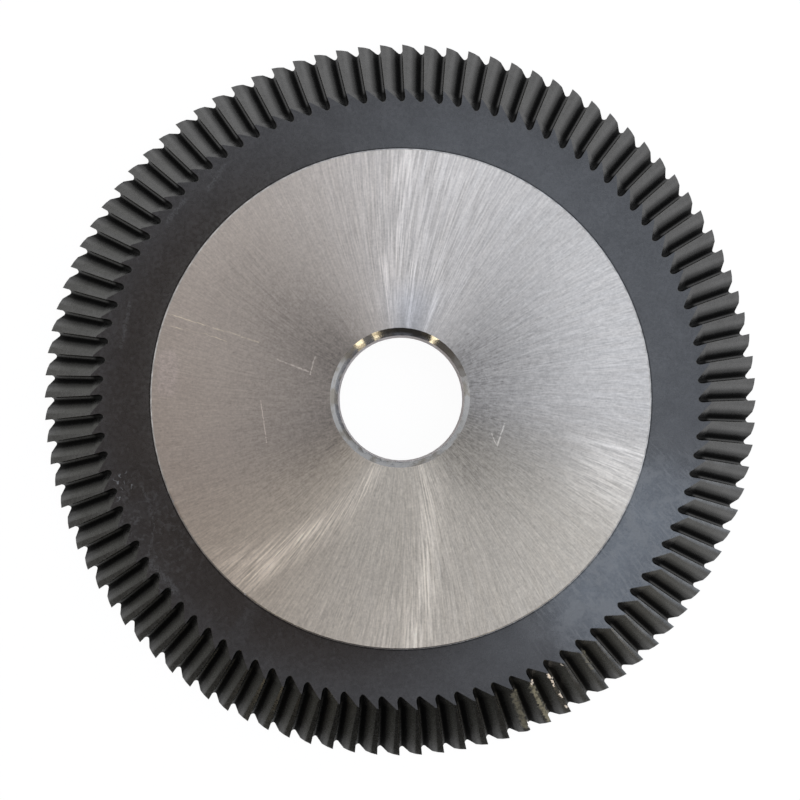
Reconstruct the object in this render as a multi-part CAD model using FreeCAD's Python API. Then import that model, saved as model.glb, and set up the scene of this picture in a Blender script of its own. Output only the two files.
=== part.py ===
"""Key cutting wheel: one ground steel disc with a hundred teeth cut round its bevelled rim.

The wheel lies flat. Its axis is +Z, its centre plane is z = 0 and its bevelled face is up.
The teeth cut counter-clockwise, seen from above. Everything is in millimetres and degrees.
"""
import FreeCAD, Part
import math
import os

from FreeCAD import Vector

# Disc: overall size, arbor hole and the two ground hub faces. The countersink of the front
# mouth was run in a little off the bore's centre.
tip_diameter = 73.8
thickness = 5.0
bore_diameter = 12.7
bore_chamfer = 0.64
front_chamfer_shift = (-0.12, 0.09)
web_recess = 0.10
hub_edge_width = 0.15

# Rim: a flat web outside the hub, then one long bevel down to a narrow crest at the back face
web_width = 6.17
bevel_width = 5.86
crest_width = 0.39

# Teeth: how many, and where the first tip stands, counted from +X
tooth_count = 100
first_tip_angle = 3.40

# Flutes: straight grooves with a hooked cutting wall, a round root and a sloping back
rake_offset = 1.2
rake_angle = 8.0
root_radius = 0.33
flute_back_angle = 29.0
gullet_depth = 0.85
flute_run_out = 1.33

# Lands: the relief ground behind each cutting edge, on the bevel and round the rim
land_width = 0.57
land_relief = 11.0
second_relief = 22.0
rim_relief = 10.0

# Wear: one tooth has lost two splinters, one of its cutting edge and one of its tip. A corner
# is given by its distance inwards from the tip and its depth behind the cutting edge.
broken_tooth = 80
edge_splinter = [(0.94, -0.10), (0.90, 0.0), (0.72, 0.10), (0.55, 0.17), (0.46, 0.14), (0.40, -0.10)]
tip_splinter = [(0.14, -0.10), (0.11, 0.03), (0.07, 0.26), (0.02, 0.50), (-0.20, 0.50), (-0.20, -0.10)]

# Wear: two nicks in the edge of the front hub face, each by its azimuth, width and depth, and
# how far their floor lies over the web
hub_nicks = [(204.2, 0.46, 0.15), (231.4, 0.36, 0.12)]
nick_floor = 0.02

# Cutters: how far they stand clear of the steel that they leave alone, how far they run past
# their cut, how thick the land cutters are, and what share of the pitch those reach back over
cutter_clearance = 0.06
cutter_overrun = 2.0
land_cutter_thickness = 0.3
side_land_reach = 0.75
rim_land_reach = 0.73

# Places that follow from the sizes above
tip_radius = tip_diameter / 2
bore_radius = bore_diameter / 2
bevel_start_radius = tip_radius - bevel_width
hub_radius = bevel_start_radius - web_width
hub_z = thickness / 2
web_z = hub_z - web_recess
crest_z = crest_width - web_z
pitch_angle = 360.0 / tooth_count
bevel_slope = math.atan2(web_z - crest_z, bevel_width)
floor_slope = math.atan2(2 * web_z, bevel_width + flute_run_out - gullet_depth)


def blank():
    """Turn the disc: bore, hub faces, recessed webs and the bevel, with a skin left to cut."""
    skin_radius = tip_radius + cutter_clearance
    skin_rise = cutter_clearance / math.cos(bevel_slope)
    rim_top = crest_z - cutter_clearance * math.tan(bevel_slope) + skin_rise
    bevel_top_radius = bevel_start_radius + skin_rise / math.tan(bevel_slope)
    outline = [
        (bore_radius, -hub_z + bore_chamfer),
        (bore_radius, hub_z),
        (hub_radius, hub_z),
        (hub_radius + hub_edge_width, web_z),
        (bevel_top_radius, web_z),
        (skin_radius, rim_top),
        (skin_radius, -web_z),
        (hub_radius + hub_edge_width, -web_z),
        (hub_radius, -hub_z),
        (bore_radius + bore_chamfer, -hub_z),
    ]
    corners = [Vector(radius, 0, height) for radius, height in outline]
    section = Part.Face(Part.makePolygon(corners + corners[:1]))
    return section.revolve(Vector(0, 0, 0), Vector(0, 0, 1), 360)


def front_countersink():
    """Make the cone that opens the front mouth of the bore."""
    across, up = front_chamfer_shift
    mouth_radius = bore_radius + bore_chamfer
    apex = Vector(across, up, hub_z - mouth_radius)
    reach = mouth_radius + cutter_clearance
    return Part.makeCone(0, reach, reach, apex)


def prism(origin, across, up, along, outline, length):
    """Sweep a closed outline, drawn in the plane of two directions, along a third.

    An outline entry holds a start and an end, and for an arc a point between them as well.
    """
    def place(point):
        return origin + across * point[0] + up * point[1]

    edges = []
    for start, end, *middle in outline:
        if middle:
            edges.append(Part.Arc(place(start), place(middle[0]), place(end)).toShape())
        else:
            edges.append(Part.LineSegment(place(start), place(end)).toShape())
    return Part.Face(Part.Wire(edges)).extrude(along * length)


def closed(points):
    """Join points with straight edges, back to the first one."""
    return list(zip(points, points[1:] + points[:1]))


# Directions at a tooth whose tip stands on +X: the rake walls miss the wheel's axis
# by the rake offset, so the plan line of the edge is turned a little from the radius.
edge_turn = math.asin(rake_offset / tip_radius)
plan_out = Vector(math.cos(edge_turn), math.sin(edge_turn), 0)
plan_across = Vector(-math.sin(edge_turn), math.cos(edge_turn), 0)
tip_point = Vector(tip_radius, 0, crest_z)


def tilted(slope):
    """Give the directions down a slope, outwards, and square to it, upwards."""
    down = plan_out * math.cos(slope) - Vector(0, 0, 1) * math.sin(slope)
    square = plan_out * math.sin(slope) + Vector(0, 0, 1) * math.cos(slope)
    return down, square


def flute_cutter():
    """Make the cutter of one flute, for the tooth whose tip stands on +X."""
    down, square = tilted(floor_slope)
    rake = math.radians(rake_angle)
    back = math.radians(flute_back_angle)
    # The root line passes under the web's run-out and out through the back face at the rim.
    run_out_reach = bevel_width + flute_run_out
    floor_start = tip_point - plan_out * run_out_reach
    floor_start.z = web_z
    depth = (tip_point - floor_start).dot(square)
    # The root circle touches the rake wall, which passes through the tip, and the sloping back.
    centre_x = (root_radius - (depth - root_radius) * math.sin(rake)) / math.cos(rake)
    wall_touch = (centre_x - root_radius * math.cos(rake), root_radius * (1 + math.sin(rake)))
    back_touch = (centre_x + root_radius * math.sin(back), root_radius * (1 - math.cos(back)))
    bottom = (centre_x, 0)
    top = depth + cutter_clearance
    wall_top = (wall_touch[0] + (top - wall_touch[1]) * math.tan(rake), top)
    back_top = (back_touch[0] + (top - back_touch[1]) / math.tan(back), top)
    outline = [
        (wall_top, wall_touch),
        (wall_touch, back_touch, bottom),
        (back_touch, back_top),
        (back_top, wall_top),
    ]
    start = floor_start - down * cutter_clearance
    length = 2 * web_z / math.sin(floor_slope) + cutter_overrun
    return prism(start, plan_across, square, down, outline, length)


def side_land_cutter():
    """Make the cutter of one land on the bevel and the second relief behind it."""
    reach = side_land_reach * 2 * math.pi * bevel_start_radius / tooth_count
    down, square = tilted(bevel_slope)
    land_drop = math.tan(math.radians(land_relief))
    second_drop = math.tan(math.radians(second_relief))
    land_end = (-land_width, -land_width * land_drop)
    second_end = (-reach, land_end[1] - (reach - land_width) * second_drop)
    front = (cutter_clearance, cutter_clearance * land_drop)
    top = land_cutter_thickness
    points = [front, land_end, second_end, (-reach, top), (cutter_clearance, top)]
    bevel_length = bevel_width / math.cos(bevel_slope)
    start = tip_point - down * (bevel_length + cutter_overrun)
    return prism(start, plan_across, square, down, closed(points), bevel_length + 2 * cutter_overrun)


def rim_land_cutter():
    """Make the cutter of one land round the rim."""
    reach = rim_land_reach * 2 * math.pi * tip_radius / tooth_count
    drop = math.tan(math.radians(rim_relief))
    front = cutter_clearance
    outside = land_cutter_thickness
    points = [(front, front * drop), (-reach, -reach * drop), (-reach, outside), (front, outside)]
    start = Vector(tip_radius, 0, -hub_z)
    return prism(start, Vector(0, 1, 0), Vector(1, 0, 0), Vector(0, 0, 1), closed(points), thickness)


def splinter(places):
    """Make a splinter that has broken out of a tooth, right through it."""
    corners = [(-depth, -inwards) for inwards, depth in places]
    start = Vector(tip_radius, 0, -hub_z)
    return prism(start, plan_across, plan_out, Vector(0, 0, 1), closed(corners), thickness)


def hub_nick(azimuth, width, depth):
    """Make a nick that opens outwards through the edge of the front hub face."""
    outside = hub_edge_width + cutter_clearance
    points = [(0, -depth), (width / 2, outside), (-width / 2, outside)]
    start = Vector(hub_radius, 0, web_z + nick_floor)
    height = web_recess + cutter_clearance
    nick = prism(start, Vector(0, 1, 0), Vector(1, 0, 0), Vector(0, 0, 1), closed(points), height)
    return turned(nick, azimuth)


def turned(cutter, angle):
    """Copy a cutter and turn it about the wheel's axis."""
    copy = cutter.copy()
    copy.rotate(Vector(0, 0, 0), Vector(0, 0, 1), angle)
    return copy


def at_tooth(cutter, tooth):
    """Copy a cutter to one tooth."""
    return turned(cutter, first_tip_angle + tooth * pitch_angle)


def round_the_rim(cutter):
    """Copy a cutter to every tooth."""
    return [at_tooth(cutter, tooth) for tooth in range(tooth_count)]


wheel = blank()
wheel = wheel.cut(front_countersink())
wheel = wheel.cut(round_the_rim(flute_cutter()))
wheel = wheel.cut(round_the_rim(side_land_cutter()))
wheel = wheel.cut(round_the_rim(rim_land_cutter()))
wheel = wheel.cut([at_tooth(splinter(places), broken_tooth) for places in (edge_splinter, tip_splinter)])
wheel = wheel.cut([hub_nick(*place) for place in hub_nicks])
wheel = wheel.Solids[0]

os.makedirs("parts", exist_ok=True)
wheel.exportStep("parts/cutting_wheel.step")
print("valid", wheel.isValid(), "faces", len(wheel.Faces), "volume in mm3", round(wheel.Volume, 2))
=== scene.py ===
# %% [markdown]
# A key cutting wheel lies flat on a pale sheet, and the camera looks straight down at it. The wheel is one
# piece of high speed steel. Its hub, bore and chamfers are ground bright. Its web and its hundred teeth
# keep the black oxide of the heat treatment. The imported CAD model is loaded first, because every size and
# place below is measured from it.

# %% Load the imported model
import bmesh
import bpy
import math
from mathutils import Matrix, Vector


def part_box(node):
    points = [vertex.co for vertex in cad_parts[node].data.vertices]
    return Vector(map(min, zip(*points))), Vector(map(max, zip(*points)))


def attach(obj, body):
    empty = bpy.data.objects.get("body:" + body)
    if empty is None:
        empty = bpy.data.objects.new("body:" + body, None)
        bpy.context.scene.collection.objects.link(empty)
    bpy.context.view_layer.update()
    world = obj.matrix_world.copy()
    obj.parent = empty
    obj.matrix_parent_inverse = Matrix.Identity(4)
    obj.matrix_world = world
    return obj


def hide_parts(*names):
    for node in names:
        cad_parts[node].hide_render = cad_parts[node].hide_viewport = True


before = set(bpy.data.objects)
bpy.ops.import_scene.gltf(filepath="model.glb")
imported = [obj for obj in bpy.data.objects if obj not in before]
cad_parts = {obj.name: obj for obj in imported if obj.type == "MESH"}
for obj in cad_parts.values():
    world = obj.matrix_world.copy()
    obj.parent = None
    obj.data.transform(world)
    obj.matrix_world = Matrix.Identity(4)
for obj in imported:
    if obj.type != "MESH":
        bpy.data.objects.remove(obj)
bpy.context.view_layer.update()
wheel_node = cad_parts["cutting_wheel"]
lowest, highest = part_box("cutting_wheel")
print("wheel box in mm", [round(1000 * size, 2) for size in highest - lowest])

# %% [markdown]
# All sizes in this file are written in millimetres, as on a drawing, and Blender works in metres. The radii
# are those of the drawing: bore, chamfer, ground hub, and the start of the long bevel with the teeth.

# %% Radii of the wheel
mm = 0.001
bore_radius = 6.35
hub_radius = 24.87
web_start_radius = 25.02
bevel_start_radius = 31.04
tip_radius = 36.9
web_height = 2.4
crest_height = -2.01
tooth_count = 100
bevel_fall = (web_height - crest_height) / (tip_radius - bevel_start_radius)
print("pitch at the rim in mm", round(2 * math.pi * tip_radius / tooth_count, 3))
print("the bevel falls at degrees", round(math.degrees(math.atan(bevel_fall)), 2))

# %% [markdown]
# The photograph was taken from close by, so the near mouth of the bore looks larger than the far one. The
# distance of the camera follows from those two circles, and its small lean from the way in which the ring
# of tips lies off the hub's centre. A long lens further away would hide the wall of the bore.

# %% Camera
camera_distance = 113.5
camera_lean = math.radians(0.715)
lean_towards = 233
aim_point = Vector((-0.104, -0.122, 0)) * mm
sensor_width = 36
lens_length = 50.08
nearest_seen = 5


def direction(azimuth):
    angle = math.radians(azimuth)
    return Vector((math.cos(angle), math.sin(angle), 0))


camera_data = bpy.data.cameras.new("camera")
camera_data.sensor_width = sensor_width
camera_data.lens = lens_length
camera_data.clip_start = nearest_seen * mm
camera = bpy.data.objects.new("camera", camera_data)
bpy.context.scene.collection.objects.link(camera)
from_wheel = direction(lean_towards) * math.sin(camera_lean) + Vector((0, 0, math.cos(camera_lean)))
camera.location = from_wheel * camera_distance * mm
looking = aim_point - camera.location
camera_side = looking.cross(Vector((0, 1, 0))).normalized()
camera_up = camera_side.cross(looking).normalized()
turn = camera.matrix_world.to_3x3()
turn.col[0], turn.col[1], turn.col[2] = camera_side, camera_up, -looking.normalized()
camera.rotation_euler = turn.to_euler()
bpy.context.scene.camera = camera
bpy.context.scene.view_settings.view_transform = "Standard"
print("camera at", [round(1000 * part, 2) for part in camera.location])

# %% [markdown]
# Every finish below is a small network of nodes. This helper keeps such a network readable: each method
# adds one node, sets what is given, links what is a socket, and returns the socket of the result.

# %% A helper that writes node networks
class Network:
    def __init__(self, tree):
        self.tree = tree
        tree.nodes.clear()

    def add(self, kind, inputs=None, output=0, **settings):
        node = self.tree.nodes.new("ShaderNode" + kind)
        for name, value in settings.items():
            setattr(node, name, value)
        for name, value in (inputs or {}).items():
            self.feed(node.inputs[name], value)
        return node.outputs[output]

    def feed(self, socket, value):
        if isinstance(value, bpy.types.NodeSocket):
            self.tree.links.new(value, socket)
        else:
            socket.default_value = value

    def number(self, operation, *values, clamp=False):
        return self.add("Math", dict(enumerate(values)), operation=operation, use_clamp=clamp)

    def vector(self, operation, *values):
        return self.add("VectorMath", dict(enumerate(values)), operation=operation)

    def scaled(self, vector, factor):
        return self.add("VectorMath", {0: vector, "Scale": factor}, operation="SCALE")

    def length(self, vector):
        return self.add("VectorMath", {0: vector}, output="Value", operation="LENGTH")

    def dot(self, vector, other):
        return self.add("VectorMath", {0: vector, 1: other}, output="Value", operation="DOT_PRODUCT")

    def ramp(self, value, low, high, to_low=0.0, to_high=1.0, smooth=True):
        inputs = {"Value": value, "From Min": low, "From Max": high, "To Min": to_low, "To Max": to_high}
        return self.add("MapRange", inputs, interpolation_type="SMOOTHSTEP" if smooth else "LINEAR")

    def noise(self, vector, scale=1.0, detail=2.0, roughness=0.5):
        inputs = {"Vector": vector, "Scale": scale, "Detail": detail, "Roughness": roughness}
        return self.add("TexNoise", inputs)

    def blend(self, factor, first, second):
        return self.add("Mix", {0: factor, 6: first, 7: second}, output=2, data_type="RGBA")

    def blend_number(self, factor, first, second):
        return self.add("Mix", {0: factor, 2: first, 3: second}, output=0, data_type="FLOAT")

    def finish(self, shader, kind="Material"):
        self.tree.links.new(shader, self.tree.nodes.new(f"ShaderNodeOutput{kind}").inputs["Surface"])


def new_material(name):
    material = bpy.data.materials.new(name)
    material.use_nodes = True
    return material, Network(material.node_tree)

# %% [markdown]
# The light is a white room. The world is plain white at strength 1, so a colour looks as it is written, and
# the sheet under the wheel is white as well. A share of the sheet's white is its own glow, for the camera
# and for reflections, and the rest is lit, so that it keeps a faint shadow of the wheel.

# %% World and sheet
world = bpy.data.worlds.new("white_room")
world.use_nodes = True
bpy.context.scene.world = world
room = Network(world.node_tree)
room.finish(room.add("Background", {"Color": (1, 1, 1, 1), "Strength": 1.0}), "World")

sheet_size = 900
sheet_glow = 0.92
glow_strength = 1.03
paper_white = (0.95, 0.95, 0.95, 1)
sheet_mesh = bpy.data.meshes.new("white_sheet")
floor_height = lowest.z


def square_at(height, size):
    half = size / 2 * mm
    return [(-half, -half, height), (half, -half, height), (half, half, height), (-half, half, height)]


sheet_mesh.from_pydata(square_at(floor_height, sheet_size), [], [(0, 1, 2, 3)])
sheet = bpy.data.objects.new("white_sheet", sheet_mesh)
bpy.context.scene.collection.objects.link(sheet)
sheet_material, sheet_net = new_material("white_sheet")
paper = sheet_net.add("BsdfDiffuse", {"Color": paper_white})
glow = sheet_net.add("Emission", {"Color": (1, 1, 1, 1), "Strength": glow_strength})
seen = sheet_net.add("LightPath", output="Is Camera Ray")
rays = seen.node.outputs
seen = sheet_net.number("MAXIMUM", seen, rays["Is Glossy Ray"])
seen = sheet_net.number("MAXIMUM", seen, rays["Is Transmission Ray"])
share = sheet_net.number("MULTIPLY", seen, sheet_glow)
sheet_net.finish(sheet_net.add("MixShader", {0: share, 1: paper, 2: glow}))
sheet_mesh.materials.append(sheet_material)
print("sheet side in m", sheet_size * mm, "height in mm", round(floor_height / mm, 2))

# %% [markdown]
# Steel shows what stands round it. In the photograph the web is bluish and bright at the right and brown and
# dark at the left, so the ceiling there was bright at the right only. A panel over the wheel gives that: a
# soft lamp whose light falls off from right to left. It hangs above the camera, and no camera sees it.

# %% Ceiling panel
panel_height = 200
panel_size = 640
bright_azimuth = 15
dim_until, bright_from = -110.0, 90.0
dim_light = (0.33, 0.28, 0.265, 1)
bright_light = (1.06, 1.14, 1.30, 1)
panel_mesh = bpy.data.meshes.new("ceiling_panel")
panel_mesh.from_pydata(square_at(panel_height * mm, panel_size), [], [(0, 3, 2, 1)])
panel = bpy.data.objects.new("ceiling_panel", panel_mesh)
bpy.context.scene.collection.objects.link(panel)
panel.visible_camera = False
panel.visible_shadow = False
panel_material, panel_net = new_material("ceiling_panel")
panel_place = panel_net.scaled(panel_net.add("TexCoord", output="Object"), 1 / mm)
along = panel_net.dot(panel_place, direction(bright_azimuth))
brightness = panel_net.ramp(along, dim_until, bright_from)
panel_colour = panel_net.blend(brightness, dim_light, bright_light)
panel_net.finish(panel_net.add("Emission", {"Color": panel_colour, "Strength": 1.0}))
panel_mesh.materials.append(panel_material)
print("panel hangs at mm", panel_height)

# %% [markdown]
# At the lower left the side lands are nearly black, and the flute backs beside them are lighter: something
# dark stood there, close by, and shaded the sheet in front of it. A curved card stands in for both, and only
# reflections see it. Its foot lies flat round the wheel and carries that shadow of the sheet as painted
# shade. Its side turns up like that of a bowl and is the dark thing itself, and both fade out at the ends.
# The flute backs mirror the foot close to the wheel, the lands mirror the outer foot, and the countersink
# mirrors the side across the wheel, so these three have their own greys. They are written here by azimuth: 1
# is white.

# %% Section and greys of the dark card
card_section = [(39, 0.02), (49, 0.04), (53, 0.1), (63, 1), (66, 7), (68, 40)]
card_from, card_to = 120, 340
# The foot greys are painted shade of the sheet, seen only in reflections; the side greys are the dark thing.
near_shade_tones = [
    (120, 1.0), (150, 0.60), (171, 0.62), (195, 0.56), (225, 0.42), (255, 0.20), (280, 0.16), (300, 0.28),
    (320, 0.60), (340, 1.0),
]
far_shade_tones = [
    (120, 1.0), (150, 1.0), (172, 0.55), (190, 0.20), (212, 0.09), (235, 0.02), (257, 0.02), (280, 0.10),
    (300, 0.32), (318, 0.85), (340, 1.0),
]
side_tones = [
    (120, 1.0), (185, 1.0), (195, 0.75), (202, 0.42), (225, 0.20), (247, 0.05), (280, 0.05), (300, 0.28),
    (322, 0.45), (330, 0.85), (340, 1.0),
]
foot_tint, side_tint = (1.0, 0.99, 0.84), (1.0, 0.90, 0.80)
level_tones = [near_shade_tones, near_shade_tones, far_shade_tones, far_shade_tones, side_tones, side_tones]
level_tints = [foot_tint, foot_tint, foot_tint, side_tint, side_tint, side_tint]
print("card from", card_from, "to", card_to, "degrees, points across", len(card_section))

# %% [markdown]
# The card is a strip of faces, one degree wide each. Its greys are kept in the mesh at its points, and the
# light blends between them, so it has no seams. A darker grey is also a warmer one. Only reflections see it.

# %% Dark card
def tone_at(tones, azimuth):
    for (start, first), (end, last) in zip(tones, tones[1:]):
        if start <= azimuth <= end:
            return first + (last - first) * (azimuth - start) / (end - start)


def ring_place(azimuth, reach, rise):
    return (direction(azimuth) * reach + Vector((0, 0, rise))) * mm + Vector((0, 0, floor_height))


def add_card(name, points, faces):
    mesh = bpy.data.meshes.new(name)
    mesh.from_pydata(points, [], faces)
    card = bpy.data.objects.new(name, mesh)
    bpy.context.scene.collection.objects.link(card)
    card.visible_camera = False
    card.visible_diffuse = False
    card.visible_shadow = False
    material, net = new_material(name)
    mesh.materials.append(material)
    return mesh, net


card_points, card_tones, card_faces = [], [], []
for azimuth in range(card_from, card_to + 1):
    for level, (reach, rise) in enumerate(card_section):
        card_points.append(ring_place(azimuth, reach, rise))
        tone = tone_at(level_tones[level], azimuth)
        card_tones.append([tone * (part + (1 - part) * tone) for part in level_tints[level]] + [1])
levels = len(card_section)
for step in range(card_to - card_from):
    for corner in range(step * levels, step * levels + levels - 1):
        card_faces.append((corner, corner + levels, corner + levels + 1, corner + 1))
card_mesh, card_net = add_card("dark_card", card_points, card_faces)
painted = card_mesh.color_attributes.new("tone", "FLOAT_COLOR", "POINT")
for point, tone in zip(painted.data, card_tones):
    point.color = tone
card_tone = card_net.add("Attribute", output="Color", attribute_name="tone")
card_net.finish(card_net.add("Emission", {"Color": card_tone, "Strength": 1.0}))
print("card faces", len(card_faces))

# %% [markdown]
# The countersink shows three golden glints. Something brassy stood across the wheel at three places, so three
# small tags glow there, in front of the card and low over the sheet. Only reflections see them too.

# %% Gold tags
gold_tags = [(238, 243), (289, 294), (304, 311)]
gold_light = (1.0, 0.84, 0.55, 1)
gold_strength = 4.5
tag_reach = 62
tag_rises = (7, 11)
tag_points = [
    ring_place(azimuth, tag_reach, rise)
    for tag in gold_tags for azimuth in tag for rise in tag_rises
]
tag_faces = [(corner, corner + 2, corner + 3, corner + 1) for corner in range(0, len(tag_points), 4)]
tag_mesh, tag_net = add_card("gold_tags", tag_points, tag_faces)
tag_net.finish(tag_net.add("Emission", {"Color": gold_light, "Strength": gold_strength}))
print("tags", len(tag_faces))

# %% [markdown]
# The wheel that is shown is a copy of the CAD mesh, so its form stays that of the CAD solid. Its points are
# welded and its faces shaded smooth, and every edge of more than a few degrees is kept sharp, as on ground
# steel. It gets five finishes, face by face, at the end of this file.

# %% The wheel's mesh
weld_distance = 0.0005
sharp_angle = 10
wheel_mesh = wheel_node.data.copy()
wheel_mesh.name = "key_cutting_wheel"
wheel = bpy.data.objects.new("key_cutting_wheel", wheel_mesh)
bpy.context.scene.collection.objects.link(wheel)
welded = bmesh.new()
welded.from_mesh(wheel_mesh)
bmesh.ops.remove_doubles(welded, verts=welded.verts, dist=weld_distance * mm)
for face in welded.faces:
    face.smooth = True
print("faces", len(welded.faces), "vertices", len(welded.verts))
welded.to_mesh(wheel_mesh)
welded.free()
wheel_mesh.set_sharp_from_angle(angle=math.radians(sharp_angle))
wheel_mesh.materials.clear()
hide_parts("cutting_wheel")
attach(wheel, "root")

# %% [markdown]
# Every finish needs to know where on the wheel it is. These helpers give a network the place in millimetres,
# the distance from the axis and the direction round it. A stroke is a mask round a straight line between two
# places on the wheel, seen from above: it draws a scratch, or a strip where the black has worn off.

# %% Places on the wheel
def wheel_places(net):
    place = net.scaled(net.add("TexCoord", output="Object"), 1 / mm)
    flat = net.vector("MULTIPLY", place, (1, 1, 0))
    return place, flat, net.length(flat), net.vector("NORMALIZE", flat)


def stroke(net, flat, start, end, width):
    start, end = Vector((*start, 0)), Vector((*end, 0))
    way = end - start
    from_start = net.vector("SUBTRACT", flat, tuple(start))
    share = net.number("DIVIDE", net.dot(from_start, tuple(way)), way.length_squared, clamp=True)
    nearest = net.scaled(tuple(way), share)
    gap = net.length(net.vector("SUBTRACT", from_start, nearest))
    return net.ramp(gap, width / 2, width, 1.0, 0.0)


def together(net, masks):
    result = masks[0]
    for mask in masks[1:]:
        result = net.number("MAXIMUM", result, mask)
    return result


farthest = max(point.co.xy.length for point in wheel_mesh.vertices)
print("farthest point from the axis in mm", round(farthest / mm, 2))

# %% [markdown]
# The hub was ground with a cup wheel, which leaves short fine lines that run outwards from the bore, bent a
# little clockwise. Such lines smear a reflection across themselves, so the finish is anisotropic, with the
# smear going round the hub. A line is noise drawn on a circle, which has no seam where the angle starts
# again. The lines stand equally close everywhere, so three sets with more and more lines per turn take
# turns from the bore to the edge.

# %% Grinding lines of the hub
ground_steel, steel = new_material("ground_steel")
place, flat, radius, around = wheel_places(steel)
line_bend = 0.004
line_depth = 0.014
bent = steel.number("MULTIPLY", radius, line_bend)
curved = steel.add("VectorRotate", {"Vector": around, "Angle": bent}, rotation_type="Z_AXIS")


def grinding_lines(lines_per_turn, length, detail=2.0):
    outwards = steel.add("CombineXYZ", {"Z": steel.number("DIVIDE", radius, length)})
    where = steel.vector("ADD", steel.scaled(curved, lines_per_turn / (2 * math.pi)), outwards)
    return steel.noise(where, detail=detail)


inner_lines = grinding_lines(300, 0.7)
middle_lines = grinding_lines(600, 0.8)
outer_lines = grinding_lines(1000, 0.9)
lines = steel.blend_number(steel.ramp(radius, 9.0, 14.0), inner_lines, middle_lines)
lines = steel.blend_number(steel.ramp(radius, 15.0, 21.0), lines, outer_lines)
long_lines = grinding_lines(300, 5.0, 3.0)
grain = steel.noise(place, scale=4.6, detail=3.0, roughness=0.7)
pits = steel.ramp(steel.noise(place, scale=3.2, detail=2.0), 0.30, 0.37, 1.0, 0.0)
relief = steel.number("ADD", steel.number("MULTIPLY", lines, 0.7), steel.number("MULTIPLY", long_lines, 0.3))
ground_bump = steel.add("Bump", {"Height": relief, "Strength": 1.0, "Distance": line_depth * mm})
print("nodes of the grinding lines", len(steel.tree.nodes))

# %% [markdown]
# The fans are painted highlights, light painted into the colour of the hub: two bright ones at the bottom,
# which swing clockwise on their way out, a narrow one at the top, and streaks at the right near the edge.
# Above the bore lies a dark bluish fan of painted shade with a few bright streaks in it. A fan is given by
# its azimuth at the bore and at the edge, its half width in degrees, the radii between which it is strong,
# and how much lighter it makes the steel, or darker where that is below zero.

# %% Painted highlight fans of the hub
azimuth = steel.add("SeparateXYZ", {"Vector": flat}, output="X")
azimuth = steel.number("ARCTAN2", azimuth.node.outputs["Y"], azimuth)


fan_softness = 4.0


def fan(at_bore, at_edge, half_width, strong_from, strong_to):
    share = steel.number("DIVIDE", steel.number("SUBTRACT", radius, bore_radius), hub_radius - bore_radius)
    centre = steel.number("MULTIPLY_ADD", share, math.radians(at_edge - at_bore), math.radians(at_bore))
    off = steel.number("SUBTRACT", azimuth, centre)
    off = steel.number("ABSOLUTE", steel.number("WRAP", off, math.pi, -math.pi))
    across = steel.ramp(off, 0.0, math.radians(half_width), 1.0, 0.0)
    inner = steel.ramp(radius, strong_from - fan_softness, strong_from)
    outer = steel.ramp(radius, strong_to, strong_to + fan_softness, 1.0, 0.0)
    return steel.number("MULTIPLY", across, steel.number("MULTIPLY", inner, outer))


bluish_shade_fan = (84, 84, 24, 6, 9)
painted_hub_fans = [
    (252, 223, 9, 9, 23, 0.26),
    (240, 229, 5, 17, 24, 0.22),
    (287, 273, 5, 7, 24, 0.24),
    (292, 270, 16, 9, 24, 0.12),
    (94, 88, 5, 9, 24, 0.14),
    (84, 84, 40, 10, 25, 0.22),
    (84, 86, 4, 7, 12, 0.26),
    (71, 72, 2.5, 7, 10, 0.26),
    (98, 96, 2.5, 7, 12, 0.26),
    (338, 340, 16, 20, 25, 0.18),
    (347, 347, 3, 20, 25, 0.14),
    (*bluish_shade_fan, -0.18),
    (200, 206, 24, 6, 22, -0.06),
    (150, 140, 26, 6, 20, -0.12),
    (338, 338, 24, 6, 18, -0.08),
]
# The fans are painted highlights, and painted shade where their strength is below zero.
painted_fan_light = 0.0
for *shape, strength in painted_hub_fans:
    painted_fan_light = steel.number("MULTIPLY_ADD", fan(*shape), strength, painted_fan_light)
print("painted_fan_light", len(painted_hub_fans))

# %% [markdown]
# How light the steel is at a place is a sum of shares, and 0 means no change: the fine lines, which are
# coarser at the lower right, a grain with small dark pits, painted shade near the bore at its left and right,
# the painted highlight fans, and a slightly lighter rim. Long lines break the fans up into streaks, and show
# faintly outside them as well.

# %% Light and dark of the hub
coarse_azimuth = 307
clear_azimuth = 84
light = steel.ramp(relief, 0.38, 0.62, -0.09, 0.09, smooth=False)
coarse_side = steel.ramp(steel.dot(around, direction(coarse_azimuth)), -0.7, 0.3, 0.7, 1.25)
light = steel.number("MULTIPLY", light, coarse_side)
light = steel.number("ADD", light, steel.ramp(grain, 0.35, 0.65, -0.10, 0.10, smooth=False))
light = steel.number("MULTIPLY_ADD", pits, -0.10, light)
upright = steel.number("ABSOLUTE", steel.dot(around, direction(clear_azimuth)))
sideways = steel.ramp(upright, 0.62, 0.98, 1.0, 0.0)
# Painted shade: the hub is darkened near the bore at its left and right.
near_bore_shade = steel.ramp(radius, 7.0, 18.0, -0.40, 0.0, smooth=False)
light = steel.number("MULTIPLY_ADD", sideways, near_bore_shade, light)
streaks = steel.ramp(grinding_lines(640, 4.0, 3.0), 0.36, 0.64, 0.1, 1.9, smooth=False)
light = steel.number("MULTIPLY_ADD", painted_fan_light, streaks, light)
faint_streaks = steel.ramp(streaks, 0.1, 1.9, -0.06, 0.06, smooth=False)
light = steel.number("MULTIPLY_ADD", faint_streaks, coarse_side, light)
light = steel.number("ADD", light, steel.ramp(radius, 17.0, 23.0, 0.0, 0.08))
print("nodes of the hub so far", len(steel.tree.nodes))

# %% [markdown]
# The scratches are those of the photograph: a long one and a short cross stroke left of the bore, golden
# streaks further out on the left, a fine upright one, and two strokes at the lower right of the bore. Noise
# bends them a little and breaks them up, because a real scratch is never an even line.

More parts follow.
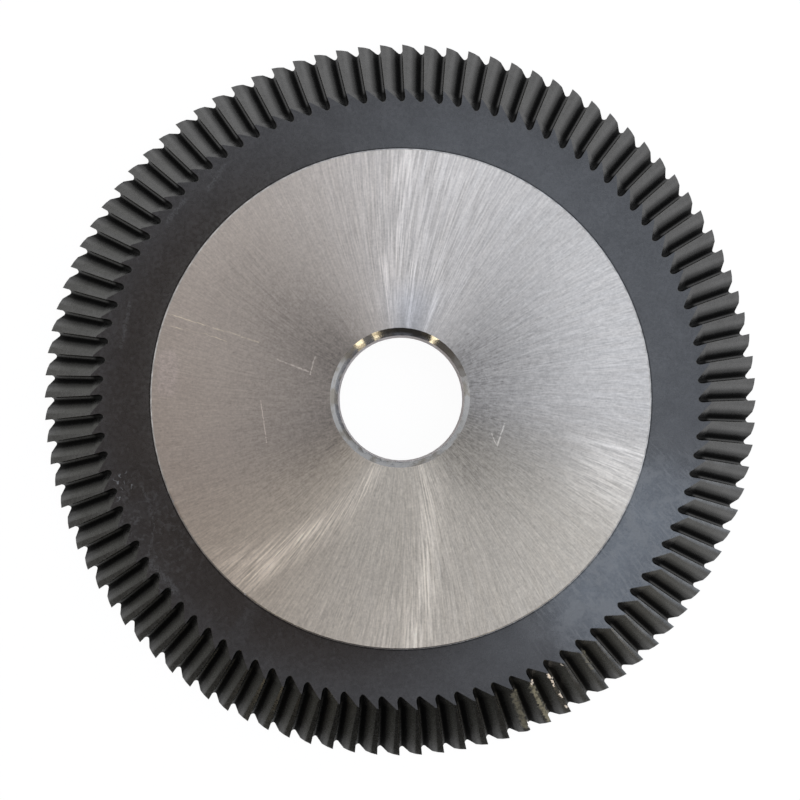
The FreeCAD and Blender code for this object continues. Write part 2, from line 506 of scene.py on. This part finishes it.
# %% Scratches of the hub
white_scratches = [
    ((-12.3, 3.9), (-9.3, 2.7), 0.09),
    ((-8.6, 4.2), (-9.1, 2.4), 0.08),
    ((-14.0, -0.2), (-13.4, -4.4), 0.06),
    ((10.3, -2.5), (9.6, -4.7), 0.09),
    ((9.0, -3.5), (9.5, -4.6), 0.06),
]
golden_streaks = [
    ((-23.2, 8.45), (-19.2, 7.2), 0.07),
    ((-18.8, 7.05), (-16.1, 6.3), 0.10),
    ((-15.9, 6.15), (-14.2, 5.6), 0.10),
    ((-23.6, 7.35), (-19.4, 6.4), 0.07),
    ((-19.4, 6.4), (-17.4, 5.7), 0.05),
]
centre_grey = (0.5, 0.5, 0.5)
bend = steel.add("TexNoise", {"Vector": place, "Scale": 1.6, "Detail": 3.0}, output="Color")
bend = steel.vector("MULTIPLY", steel.vector("SUBTRACT", bend, centre_grey), (0.2, 0.2, 0.0))
wavy = steel.vector("ADD", flat, bend)
broken = steel.ramp(grain, 0.40, 0.50, 0.25, 1.0)
scratched = together(steel, [stroke(steel, wavy, *scratch) for scratch in white_scratches])
light = steel.number("MULTIPLY_ADD", steel.number("MULTIPLY", scratched, broken), 0.5, light)
golden = together(steel, [stroke(steel, wavy, *streak) for streak in golden_streaks])
golden = steel.number("MULTIPLY", golden, steel.ramp(streaks, 0.5, 1.3, 0.15, 0.9))
print("scratches", len(white_scratches), "golden streaks", len(golden_streaks))

# %% [markdown]
# Bare steel is a warm grey. The left of this hub is tan, the painted dark fan above the bore is bluish, a
# painted reflection, the lower half is a little warmer than the upper one, and a pale patch lies at the very
# left. The finish is metal, of middling roughness, with its smear turned round the axis.

# %% Colour of the ground steel
tan_azimuth = 170
warm_azimuth = 276
plain_grey, tan_grey = (0.545, 0.52, 0.475, 1), (0.525, 0.47, 0.40, 1)
bluish_grey, gold = (0.49, 0.515, 0.545, 1), (0.80, 0.72, 0.56, 1)
pale_pink = (0.70, 0.62, 0.57, 1)
cool_light, warm_light = (1.0, 1.0, 1.02, 1), (1.02, 0.985, 0.92, 1)
tan_left = steel.ramp(steel.dot(around, direction(tan_azimuth)), 0.0, 0.95)
shade = steel.blend(tan_left, plain_grey, tan_grey)
# The dark fan above the bore is also painted bluish, a painted reflection.
shade = steel.blend(steel.number("MULTIPLY", fan(*bluish_shade_fan), 0.4), shade, bluish_grey)
shade = steel.blend(golden, shade, gold)
pale_patch = stroke(steel, wavy, (-23.3, 3.8), (-23.4, 1.2), 1.4)
pale_patch = steel.number("MULTIPLY", pale_patch, steel.ramp(grain, 0.30, 0.60, 0.05, 0.35))
shade = steel.blend(pale_patch, shade, pale_pink)
warm_bottom = steel.ramp(steel.dot(around, direction(warm_azimuth)), 0.1, 0.75)
warmth = steel.blend(warm_bottom, cool_light, warm_light)
shade = steel.vector("MULTIPLY", shade, warmth)
lightness = steel.number("ADD", light, 1.0)
shade = steel.scaled(shade, lightness)
steel_roughness = steel.ramp(long_lines, 0.3, 0.7, 0.40, 0.52, smooth=False)
tangent = steel.add("Tangent", direction_type="RADIAL", axis="Z")
steel.finish(steel.add("BsdfPrincipled", {
    "Base Color": shade, "Metallic": 1.0, "Roughness": steel_roughness, "Anisotropic": 0.7,
    "Tangent": tangent, "Normal": ground_bump,
}))
print("nodes of the ground steel", len(steel.tree.nodes))

# %% [markdown]
# The edge of the hub was broken with a stone and shines as a thin light line. The countersinks were turned:
# fine rings round the axis, smoother than the grinding, with a few brown stains, and darker towards the
# bottom.

# %% Edge of the hub and countersinks
stoned_dark, stoned_light = (0.34, 0.333, 0.323, 1), (0.55, 0.543, 0.535, 1)
edge_steel, edge = new_material("edge_steel")
place, flat, radius, around = wheel_places(edge)
edge_tone = edge.ramp(edge.noise(place, scale=1.6, detail=4.0), 0.3, 0.7)
edge.finish(edge.add("BsdfPrincipled", {
    "Base Color": edge.blend(edge_tone, stoned_dark, stoned_light),
    "Metallic": 1.0, "Roughness": edge.ramp(edge_tone, 0.0, 1.0, 0.38, 0.28),
}))

clean_turned, stained_turned = (0.40, 0.405, 0.415, 1), (0.33, 0.315, 0.29, 1)
ring_depth = 0.001
darker_azimuth = 270
turned_steel, turned = new_material("turned_steel")
place, flat, radius, around = wheel_places(turned)
height = turned.add("SeparateXYZ", {"Vector": place}, output="Z")
section_place = turned.add("CombineXYZ", {"X": radius, "Y": height})
rings = turned.noise(turned.scaled(section_place, 9.0), detail=2.0)
stains = turned.ramp(turned.noise(place, scale=0.8, detail=4.0), 0.45, 0.65)
turned_shade = turned.blend(stains, clean_turned, stained_turned)
darker_bottom = turned.ramp(turned.dot(around, direction(darker_azimuth)), -0.2, 0.6)
turned_shade = turned.blend(darker_bottom, turned_shade, turned.scaled(turned_shade, 0.78))
turned.finish(turned.add("BsdfPrincipled", {
    "Base Color": turned_shade, "Metallic": 1.0, "Roughness": turned.ramp(stains, 0.0, 1.0, 0.10, 0.18),
    "Normal": turned.add("Bump", {"Height": rings, "Strength": 1.0, "Distance": ring_depth * mm}),
}))
print("nodes of the edge", len(edge.tree.nodes), "and of the countersinks", len(turned.tree.nodes))

# %% [markdown]
# The wall of the bore is duller. Arbors have rubbed it, and a film of old oil keeps it grey. Only a thin ring
# of it is seen, so a few rings along its height and a soft film are enough.

# %% Bore
film_light, film_dark = (0.50, 0.465, 0.455, 1), (0.36, 0.33, 0.32, 1)
bore_steel, bore = new_material("bore_steel")
place, flat, radius, around = wheel_places(bore)
height = bore.add("SeparateXYZ", {"Vector": place}, output="Z")
film = bore.ramp(bore.noise(place, scale=0.7, detail=4.0), 0.35, 0.65)
wall_rings = bore.noise(bore.add("CombineXYZ", {"Z": bore.number("MULTIPLY", height, 6.0)}), detail=3.0)
wall_shade = bore.blend(film, film_light, film_dark)
wall_shade = bore.scaled(wall_shade, bore.ramp(wall_rings, 0.35, 0.65, 0.75, 1.3))
bore.finish(bore.add("BsdfPrincipled", {
    "Base Color": wall_shade, "Metallic": 0.15, "Roughness": 0.6, "IOR": 1.15,
}))
print("nodes of the bore", len(bore.tree.nodes))

# %% [markdown]
# Black oxide is a thin dark skin on the steel. It is not a metal to the eye: it shows a weak, soft, nearly
# colourless reflection on black. The skin is duller in the flutes, where the mill left a rougher face and
# old dust stays, and it is darkened further there as painted shade, most of all towards their roots, where
# the flute shades itself. The depth in a flute is measured down from the bevel, which is a cone. How much
# of the shine is left is a number from 0 to 1.

# %% Shine of the oxide, and painted shade, down in the flutes
black_oxide, oxide = new_material("black_oxide")
place, flat, radius, around = wheel_places(oxide)
height = oxide.add("SeparateXYZ", {"Vector": place}, output="Z")
past_web = oxide.number("SUBTRACT", radius, bevel_start_radius)
bevel_here = oxide.number("MULTIPLY_ADD", past_web, -bevel_fall, web_height)
surface_here = oxide.number("MINIMUM", bevel_here, web_height)
depth = oxide.number("SUBTRACT", surface_here, height)
# Painted shade: with depth in a flute the skin is made duller and darker, together with its rougher face.
dullness_and_shade = oxide.ramp(depth, 0.28, 0.62, 1.0, 0.45)
shine = oxide.number("MULTIPLY", dullness_and_shade, oxide.ramp(depth, 0.62, 0.84, 1.0, 0.07))
print("nodes of the oxide so far", len(oxide.tree.nodes))

# %% [markdown]
# The foot of the cutting wall was ground again and is shinier, so it shows as a thin light line. Where a
# flute starts in the web, its blunt end is painted black as shade. Which way a face looks tells the wall of
# a flute from its back. Just outside the hub runs a thin dark line of painted shade, in the corner of the
# web. The underside has no such marks. At the lower right, hands have polished the web, and its bluish
# reflection there is painted into its colour as a painted sheen.

# %% Cutting walls, painted shade at flute starts and web corner, and polished web with painted sheen
lower_right_azimuth = 325
normal = oxide.add("NewGeometry", output="True Normal")
round_way = oxide.vector("CROSS_PRODUCT", (0, 0, 1), around)
wall_side = oxide.ramp(oxide.dot(normal, round_way), -0.05, 0.25)
root_shine = oxide.ramp(radius, bevel_start_radius - 0.4, bevel_start_radius + 0.4, 0.0, 0.5)
shine = oxide.number("MAXIMUM", shine, oxide.number("MULTIPLY", wall_side, root_shine))
# Painted shade: the blunt end of each flute start is made nearly black.
flute_end_shade = oxide.ramp(radius, bevel_start_radius - 0.25, bevel_start_radius - 0.05, 1.0, 0.0)
flute_end_shade = oxide.number("MULTIPLY", flute_end_shade, oxide.ramp(depth, 0.01, 0.06))
off_back = oxide.ramp(oxide.dot(normal, round_way), -0.42, -0.25)
flute_end_shade = oxide.number("MULTIPLY", flute_end_shade, off_back)
shine = oxide.number("MULTIPLY", shine, oxide.ramp(flute_end_shade, 0.0, 1.0, 1.0, 0.06))
# Painted shade: a thin dark line in the corner of the web just outside the hub.
web_corner_shade = oxide.ramp(radius, web_start_radius + 0.03, web_start_radius + 0.20)
shine = oxide.number("MULTIPLY", shine, oxide.ramp(web_corner_shade, 0.0, 1.0, 0.35, 1.0))
on_back = oxide.number("LESS_THAN", oxide.add("SeparateXYZ", {"Vector": normal}, output="Z"), -0.5)
shine = oxide.blend_number(on_back, shine, 1.0)
toward_lower_right = oxide.dot(around, direction(lower_right_azimuth))
on_web = oxide.ramp(depth, 0.0, 0.1, 1.0, 0.0)
# Painted sheen: the polished web at the lower right gets a bluish reflection painted into its colour.
polish_and_sheen = oxide.number("MULTIPLY", oxide.ramp(toward_lower_right, 0.90, 0.99, 0.0, 0.7), on_web)
print("nodes of the oxide so far", len(oxide.tree.nodes))

# %% [markdown]
# The oxide is not even: it has soft clouds and a leathery grain, which also makes a very low relief. The
# edges of the teeth have lost their black first, and show as thin grey-brown lines. A Bevel node finds them:
# its normal leaves that of the face only near an edge.

# %% Grain, clouds and worn edges of the oxide
grain_depth = 0.004
edge_round = 0.05
edge_samples = 6
grain = oxide.noise(place, scale=2.6, detail=5.0, roughness=0.6)
clouds = oxide.noise(place, scale=0.35, detail=4.0, roughness=0.6)
fine_grain = oxide.noise(place, scale=7.0, detail=3.0, roughness=0.6)
leather = oxide.ramp(toward_lower_right, 0.70, 0.98, 0.88, 0.95)
shine = oxide.number("MULTIPLY", shine, oxide.blend_number(oxide.ramp(grain, 0.36, 0.64), leather, 1.0))
shine = oxide.number("MULTIPLY", shine, oxide.ramp(fine_grain, 0.36, 0.64, 0.90, 1.04, smooth=False))
shine = oxide.number("MULTIPLY", shine, oxide.ramp(clouds, 0.35, 0.65, 0.88, 1.0, smooth=False))
oxide_bump = oxide.add("Bump", {"Height": grain, "Strength": 1.0, "Distance": grain_depth * mm})
rounded = oxide.add("Bevel", {"Radius": edge_round * mm, "Normal": oxide_bump}, samples=edge_samples)
edge_bend = oxide.dot(oxide.add("Bevel", {"Radius": edge_round * mm}, samples=edge_samples), normal)
worn_edge = oxide.ramp(edge_bend, 0.98, 0.75, 0.0, 1.0, smooth=False)
worn_edge = oxide.number("MULTIPLY", worn_edge, oxide.ramp(clouds, 0.35, 0.6, 0.5, 1.0))
on_teeth = oxide.ramp(radius, bevel_start_radius + 0.1, bevel_start_radius + 0.8)
worn_edge = oxide.number("MULTIPLY", worn_edge, on_teeth)
print("nodes of the oxide so far", len(oxide.tree.nodes))

# %% [markdown]
# Fine light veins and smudges lie on the web at the lower right, with scratches across them, and a few
# wrinkles at the lower left. A vein is the line where a noise passes its middle value, and the noise is
# swirled first, so that no vein runs straight. The scratches are noise too, turned and stretched.

# %% Veins, smudges and scratches of the web
wrinkled_azimuth = 207
hatch_turn = math.radians(50)
hatch_stretch = (0.6, 4.0, 1.0)
swirl = oxide.add("TexNoise", {"Vector": place, "Scale": 0.7, "Detail": 4.0}, output="Color")
swirled = oxide.vector("ADD", place, oxide.scaled(oxide.vector("SUBTRACT", swirl, centre_grey), 3.0))
vein_noise = oxide.noise(swirled, scale=0.8, detail=3.0)
vein_gap = oxide.number("ABSOLUTE", oxide.number("SUBTRACT", vein_noise, 0.5))
veins = oxide.ramp(vein_gap, 0.0, 0.04, 1.0, 0.0)
vein_zone = oxide.ramp(toward_lower_right, 0.90, 0.99, 0.04, 0.35)
wrinkled_zone = oxide.ramp(oxide.dot(around, direction(wrinkled_azimuth)), 0.955, 0.995, 0.0, 0.12)
vein_zone = oxide.number("MAXIMUM", vein_zone, wrinkled_zone)
veins = oxide.number("MULTIPLY", veins, oxide.number("MULTIPLY", vein_zone, on_web))
veins = oxide.number("MULTIPLY", veins, oxide.ramp(grain, 0.38, 0.55))
smudge = oxide.ramp(oxide.noise(swirled, scale=0.45, detail=4.0), 0.50, 0.62, 0.0, 0.35)
smudge_zone = oxide.number("MULTIPLY", oxide.ramp(toward_lower_right, 0.86, 0.98), on_web)
smudge = oxide.number("MULTIPLY", smudge, smudge_zone)
hatch_place = oxide.add("VectorRotate", {"Vector": flat, "Angle": hatch_turn}, rotation_type="Z_AXIS")
hatch_place = oxide.vector("MULTIPLY", hatch_place, hatch_stretch)
hatch = oxide.ramp(oxide.noise(hatch_place, detail=3.0), 0.50, 0.66, 0.0, 0.40)
hatch = oxide.number("MULTIPLY", hatch, smudge_zone)
print("nodes of the oxide so far", len(oxide.tree.nodes))

# %% [markdown]
# At the left rim lie a few light scuffs, and faint marks of handling run along the left side. Their edges are
# ragged, so noise bends the strokes that draw them. Each is given by its two ends and its width.

# %% Scuffs and marks of handling
web_scuffs = [
    ((-28.7, -8.0), (-28.5, -8.2), 0.05),
    ((-28.35, -8.3), (-28.25, -8.5), 0.06),
    ((-28.1, -7.6), (-28.0, -7.8), 0.05),
    ((-27.4, -7.3), (-27.5, -7.5), 0.05),
    ((-27.9, -8.9), (-27.8, -9.1), 0.05),
    ((-27.6, -8.2), (-27.5, -8.5), 0.04),
    ((-28.3, -10.1), (-28.0, -9.85), 0.05),
    ((-26.9, -8.6), (-26.8, -8.9), 0.04),
]
handling_marks = [
    ((-26.0, -8.4), (-24.9, -10.9), 0.14),
    ((-24.9, -10.9), (-24.6, -12.9), 0.14),
    ((-24.6, -12.9), (-25.2, -15.6), 0.14),
    ((-24.9, -16.4), (-22.4, -19.2), 0.50),
    ((-23.4, 17.6), (-21.6, 19.9), 0.30),
    ((-19.3, 20.8), (-17.6, 23.5), 0.24),
    ((-27.9, 5.2), (-27.1, 9.4), 0.26),
]
bend = oxide.add("TexNoise", {"Vector": place, "Scale": 2.4, "Detail": 3.0}, output="Color")
bend = oxide.vector("MULTIPLY", oxide.vector("SUBTRACT", bend, centre_grey), (0.8, 0.8, 0.0))
torn = oxide.vector("ADD", flat, bend)
scuffs = together(oxide, [stroke(oxide, torn, *scuff) for scuff in web_scuffs])
handled = together(oxide, [stroke(oxide, torn, *mark) for mark in handling_marks])
handled = oxide.number("MULTIPLY", handled, oxide.ramp(fine_grain, 0.42, 0.58, 0.0, 0.16))
pale = together(oxide, [veins, smudge, hatch, oxide.number("MULTIPLY", scuffs, 0.6), handled])
print("scuffs", len(web_scuffs), "marks of handling", len(handling_marks))

# %% [markdown]
# A row of teeth at the lower right has hit something hard. Two lands next to the broken tooth are rubbed bare
# in strips and look olive brown, and small chips lie on the third, whose near-white colour is a painted
# glint.
# A strip also has its own strength.

# %% Bare places on the worn teeth
rubbed_strips = [
    ((11.35, -29.7), (12.8, -33.7), 0.46, 0.6),
    ((13.05, -28.85), (15.30, -33.1), 0.34, 1.0),
    ((18.3, -25.6), (19.4, -27.3), 0.26, 0.4),
]
bright_chips = [
    ((14.72, -27.65), (14.86, -27.90), 0.22),
    ((15.12, -28.20), (15.26, -28.55), 0.13),
    ((15.40, -28.75), (15.50, -29.00), 0.12),
    ((16.22, -30.10), (16.38, -30.40), 0.18),
    ((16.90, -31.50), (17.00, -31.80), 0.10),
    ((13.05, -28.45), (13.20, -28.60), 0.16),
    ((16.05, -26.55), (16.15, -26.75), 0.07),
]
rubbed = together(oxide, [
    oxide.number("MULTIPLY", stroke(oxide, torn, *strip), strength) for *strip, strength in rubbed_strips
])
patches = oxide.ramp(oxide.noise(place, scale=1.8, detail=4.0), 0.44, 0.52, 0.35, 1.0)
rubbed = oxide.number("MULTIPLY", rubbed, patches)
rubbed = oxide.number("MAXIMUM", rubbed, oxide.number("MULTIPLY", worn_edge, 0.4))
chips_and_glints = together(oxide, [stroke(oxide, torn, *chip) for chip in bright_chips])
print("rubbed strips", len(rubbed_strips), "chips_and_glints", len(bright_chips))

# %% [markdown]
# The masks above now mix five surfaces, from the bottom up: dull dusty oxide, which also carries the painted
# shade, shiny oxide, pale marks, rubbed steel and bright chips with painted glints. The shiny oxide has a
# high
# IOR, which is what gives a thin dark skin its reflection.

# %% Layers of the black oxide
black, painted_sheen_blue = (0.003, 0.003, 0.003, 1), (0.10, 0.12, 0.14, 1)
dusty_shaded_black = (0.001, 0.001, 0.001, 1)
pale_grey = (0.24, 0.25, 0.255, 1)
olive_brown = (0.29, 0.27, 0.195, 1)
painted_glint_white = (1.0, 0.88, 0.74, 1)
# The polished web is painted bluish, a painted reflection.
skin_shade = oxide.blend(polish_and_sheen, black, painted_sheen_blue)
skin = oxide.add("BsdfPrincipled", {
    "Base Color": skin_shade, "Roughness": oxide.ramp(grain, 0.3, 0.7, 0.24, 0.32), "IOR": 1.92,
    "Normal": rounded,
})
dull_shaded_skin = oxide.add("BsdfPrincipled", {
    "Base Color": dusty_shaded_black, "Roughness": 0.6, "IOR": 1.15, "Normal": rounded,
})
pale_skin = oxide.add("BsdfPrincipled", {
    "Base Color": pale_grey, "Roughness": 0.5, "Normal": rounded,
})
rubbed_steel = oxide.add("BsdfPrincipled", {
    "Base Color": olive_brown, "Metallic": 0.5, "Roughness": 0.42, "Normal": rounded,
})
# Painted glints: the chips get a near-white colour that stands in for their highlights.
chip_steel_and_glint = oxide.add("BsdfPrincipled", {
    "Base Color": painted_glint_white, "Metallic": 0.4, "Roughness": 0.3, "Normal": rounded,
})
covered = oxide.add("MixShader", {0: shine, 1: dull_shaded_skin, 2: skin})
covered = oxide.add("MixShader", {0: pale, 1: covered, 2: pale_skin})
covered = oxide.add("MixShader", {0: rubbed, 1: covered, 2: rubbed_steel})
oxide.finish(oxide.add("MixShader", {0: chips_and_glints, 1: covered, 2: chip_steel_and_glint}))
print("nodes of the oxide", len(oxide.tree.nodes))

# %% [markdown]
# Grinding came last on the real wheel, after the blackening, so the border between the finishes is the edge
# of the hub. A face goes to a finish by how far it lies from the axis and by which way it looks.

# %% Share the finishes out
margin = 0.02
mouth_reach = bore_radius + 1.0


def finish_of(face):
    reaches = [wheel_mesh.vertices[corner].co.xy.length / mm for corner in face.vertices]
    level = abs(face.normal.z) > 0.99
    upright_face = abs(face.normal.z) < 0.1
    if level and max(reaches) < hub_radius + margin:
        return ground_steel
    if max(reaches) < mouth_reach:
        return bore_steel if upright_face else turned_steel
    if max(reaches) < web_start_radius + margin:
        return edge_steel
    return black_oxide


finishes = [turned_steel, ground_steel, edge_steel, black_oxide, bore_steel]
for finish in finishes:
    wheel_mesh.materials.append(finish)
for face in wheel_mesh.polygons:
    face.material_index = finishes.index(finish_of(face))
for index, finish in enumerate(finishes):
    print(finish.name, "faces", sum(1 for face in wheel_mesh.polygons if face.material_index == index))
